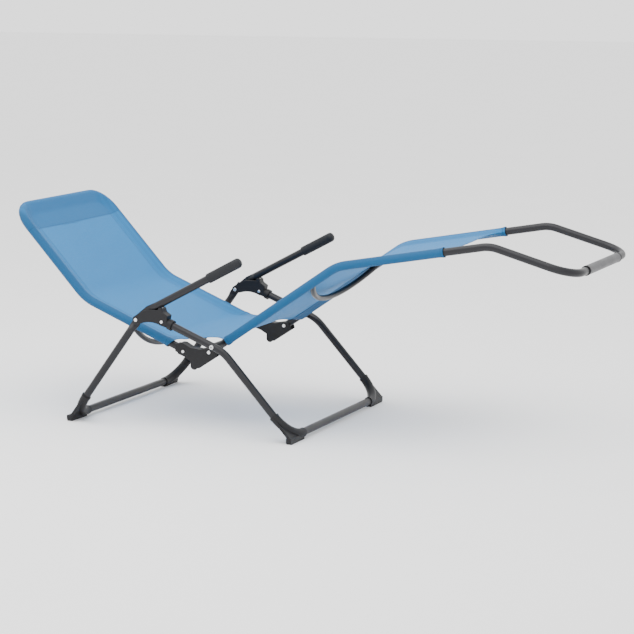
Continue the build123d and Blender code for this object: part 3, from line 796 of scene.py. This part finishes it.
def cross_samples(start, end, distance, tilt, side):
    """Points on a cross tube's centre line, from the side tube inwards."""
    x, z = on_line(start, end, distance)
    radius = (BODY_Y ** 2 + CROSS_BOW ** 2) / (2 * CROSS_BOW)
    y = np.linspace(BODY_Y - 0.003, BODY_Y - 0.050, 60)
    drop = CROSS_BOW - radius + np.sqrt(radius ** 2 - y ** 2)
    return np.stack([x + drop * cos(tilt), side * y, z + drop * sin(tilt)], -1)


def open_slits(sling):
    """Opens the folds where the cross tubes leave the side tubes."""
    mesh = bmesh.new()
    mesh.from_mesh(sling.data)
    for tube in CROSS_TUBES:
        for side in (-1, 1):
            samples = cross_samples(*tube, side)

            def offset(place):
                gaps = np.array(place) - samples
                lengths = np.linalg.norm(gaps, axis=1)
                nearest = np.argmin(lengths)
                return gaps[nearest], lengths[nearest]

            doomed = [face for face in mesh.faces if offset(face.calc_center_median())[1] < SLIT_FACES]
            rim = {v for face in doomed for v in face.verts}
            bmesh.ops.delete(mesh, geom=doomed, context="FACES")
            for v in rim:
                if v.is_valid:
                    away, gap = offset(v.co)
                    if 1e-5 < gap < SLIT_R:
                        v.co += Vector(away * (SLIT_R / gap - 1))
    mesh.to_mesh(sling.data)
    mesh.free()


def finish_sling(sling):
    """Welds the patches, opens the slits, gives the cloth its thickness, and measures it."""
    mesh = bmesh.new()
    mesh.from_mesh(sling.data)
    bmesh.ops.remove_doubles(mesh, verts=mesh.verts, dist=2e-5)
    bmesh.ops.recalc_face_normals(mesh, faces=mesh.faces)
    mesh.to_mesh(sling.data)
    mesh.free()
    open_slits(sling)
    area = sum(face.area for face in sling.data.polygons)
    thick = sling.modifiers.new("thickness", "SOLIDIFY")
    thick.thickness = CLOTH_THICKNESS
    thick.offset = 0.0
    apply_modifiers(sling)
    smooth(sling, 50)
    return area


# ---- armrest grips: moulded with fine lengthwise ribs and a plain rounded cap ----
RIBS = 26
RIB_STEPS = 6            # points round one rib
RIB_DEPTH = 0.0006
CAP = 0.020              # length of the plain cap
CAP_GROOVE = 0.0006      # depth of the groove before it
EDGE_R = 0.002           # rounding of the open end
DOME_R = 0.0102          # rounding of the cap
BORE_R = TUBE_R + 0.0003
BORE_DEPTH = 0.030


def grip_stations():
    """The grip's outline: distance along it, radius, and how ribbed it is there."""
    stations = [(0.0, BORE_R, 0.0), (0.0, GRIP_R - 0.0022, 0.0)]
    for a in np.radians([15, 35, 55, 75, 90]):
        stations.append((EDGE_R * (1 - cos(a)), GRIP_R - EDGE_R + EDGE_R * sin(a), 0.0))
    for x in (0.006, 0.0075, 0.009):
        stations.append((x, GRIP_R, float(smoothstep(x, 0.006, 0.009))))
    for x in np.linspace(0.015, GRIP_LENGTH - CAP - 0.004, 14):
        stations.append((x, GRIP_R, 1.0))
    for x in (0.003, 0.0015, 0.0):
        stations.append((GRIP_LENGTH - CAP - x, GRIP_R, x / 0.004))
    for x in (0.001, 0.0022):
        stations.append((GRIP_LENGTH - CAP + x, GRIP_R - CAP_GROOVE, 0.0))
    stations.append((GRIP_LENGTH - CAP + 0.003, GRIP_R, 0.0))
    for a in np.radians(np.linspace(0, 90, 9)):
        along, out = DOME_R * sin(a), DOME_R * cos(a)
        stations.append((GRIP_LENGTH - DOME_R + along, GRIP_R - DOME_R + out, 0.0))
    return stations


def ring_faces(first, second, around):
    """The faces between two rings of points, each given by its first point."""
    turns = [(i, (i + 1) % around) for i in range(around)]
    return [(first + i, first + j, second + j, second + i) for i, j in turns]


def build_grip(side, material):
    around = RIBS * RIB_STEPS
    phi = np.linspace(0, 2 * pi, around, endpoint=False)
    wave = 0.5 - 0.5 * np.cos(phi * RIBS)
    slope = np.array([cos(ARM_SLOPE), 0.0, sin(ARM_SLOPE)])
    upward = np.array([-sin(ARM_SLOPE), 0.0, cos(ARM_SLOPE)])
    origin = np.array([HINGE[0], side * STAND_Y, HINGE[1]]) + upward * ARM_OFFSET

    def ring(x, radius):
        """Points round the arm's centre line; the radius may differ from point to point."""
        centre = origin + slope * (GRIP_START + x)
        return centre + np.outer(radius * np.cos(phi), ACROSS) + np.outer(radius * np.sin(phi), upward)

    vertices, faces = [], []
    stations = grip_stations()
    for x, radius, ribbed in stations:
        vertices.extend(ring(x, radius - RIB_DEPTH * wave * ribbed))
    for k in range(len(stations) - 1):
        faces.extend(ring_faces(k * around, (k + 1) * around, around))
    tip = len(vertices)
    vertices.append(origin + slope * (GRIP_START + GRIP_LENGTH))
    rim = (len(stations) - 1) * around
    faces.extend((rim + i, rim + (i + 1) % around, tip) for i in range(around))
    vertices.extend(ring(BORE_DEPTH, BORE_R))
    faces.extend(ring_faces(tip + 1, 0, around))
    name = "left" if side > 0 else "right"
    grip = new_object(f"grip_{name}", vertices, faces, material)
    mesh = bmesh.new()
    mesh.from_mesh(grip.data)
    bmesh.ops.recalc_face_normals(mesh, faces=mesh.faces)
    mesh.to_mesh(grip.data)
    mesh.free()
    smooth(grip, 40)
    return grip


# ---- the scene ----
add_camera()
add_world(WORLD_STRENGTH)
add_area_light(
    "overhead_softbox", place=(-0.6, -1.2, 3.4), target=(0.0, 0.0, 0.3), size=3.6, power=120.0
)
add_area_light(
    "front_fill", place=(2.6, -3.6, 1.6), target=(0.0, 0.0, 0.35), size=2.0, power=12.0
)

floor = new_object(
    "studio_floor",
    [(x * FLOOR_HALF, y * FLOOR_HALF, 0) for x, y in ((-1, -1), (1, -1), (1, 1), (-1, 1))],
    [(0, 1, 2, 3)],
    floor_material(),
)

paint = paint_material()
black = plastic_material(
    "black_moulded_plastic", (0.007, 0.007, 0.008, 1.0), (0.011, 0.011, 0.013, 1.0), roughness=0.46
)
grip_black = plastic_material(
    "grip_plastic", (0.009, 0.010, 0.012, 1.0), (0.015, 0.016, 0.019, 1.0), roughness=0.55, grain=2200.0
)
sleeve_grey = plastic_material(
    "foot_sleeve_plastic", (0.062, 0.062, 0.066, 1.0), (0.080, 0.080, 0.084, 1.0), roughness=0.42
)
steel = steel_material()
SLOT_MATERIALS = {
    "frame_paint": paint,
    "black_plastic": black,
    "grip_plastic": grip_black,
    "sleeve_plastic": sleeve_grey,
    "bright_steel": steel,
}
NODE_SLOTS = (             # the first word found in a node's name gives its slot
    ("tube", "frame_paint"),
    ("grip", "grip_plastic"),
    ("foot_bar_sleeve", "sleeve_plastic"),
    ("rivet", "bright_steel"),
    ("pin", "bright_steel"),
    ("washer", "bright_steel"),
    ("shoe", "black_plastic"),
    ("bracket", "black_plastic"),
    ("knuckle", "black_plastic"),
    ("band", "black_plastic"),
    ("spacer", "black_plastic"),
)


def slot_of(name):
    """A CAD node's material slot; none for the sling strips."""
    return next((slot for word, slot in NODE_SLOTS if word in name), None)


for name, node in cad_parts.items():
    slot = slot_of(name)
    if slot:
        if not node.data.materials:
            node.data.materials.append(None)
        for i in range(len(node.data.materials)):
            node.material_slots[i].material = SLOT_MATERIALS[slot]

sling = build_sling(sling_material())
cloth_area = finish_sling(sling)
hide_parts("sling_back", "sling_leg")
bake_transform(sling)

for side, name in ((1, "left"), (-1, "right")):
    grip = build_grip(side, grip_black)
    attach(grip, f"armrest_{name}")
    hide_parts(f"armrest_grip_{name}")
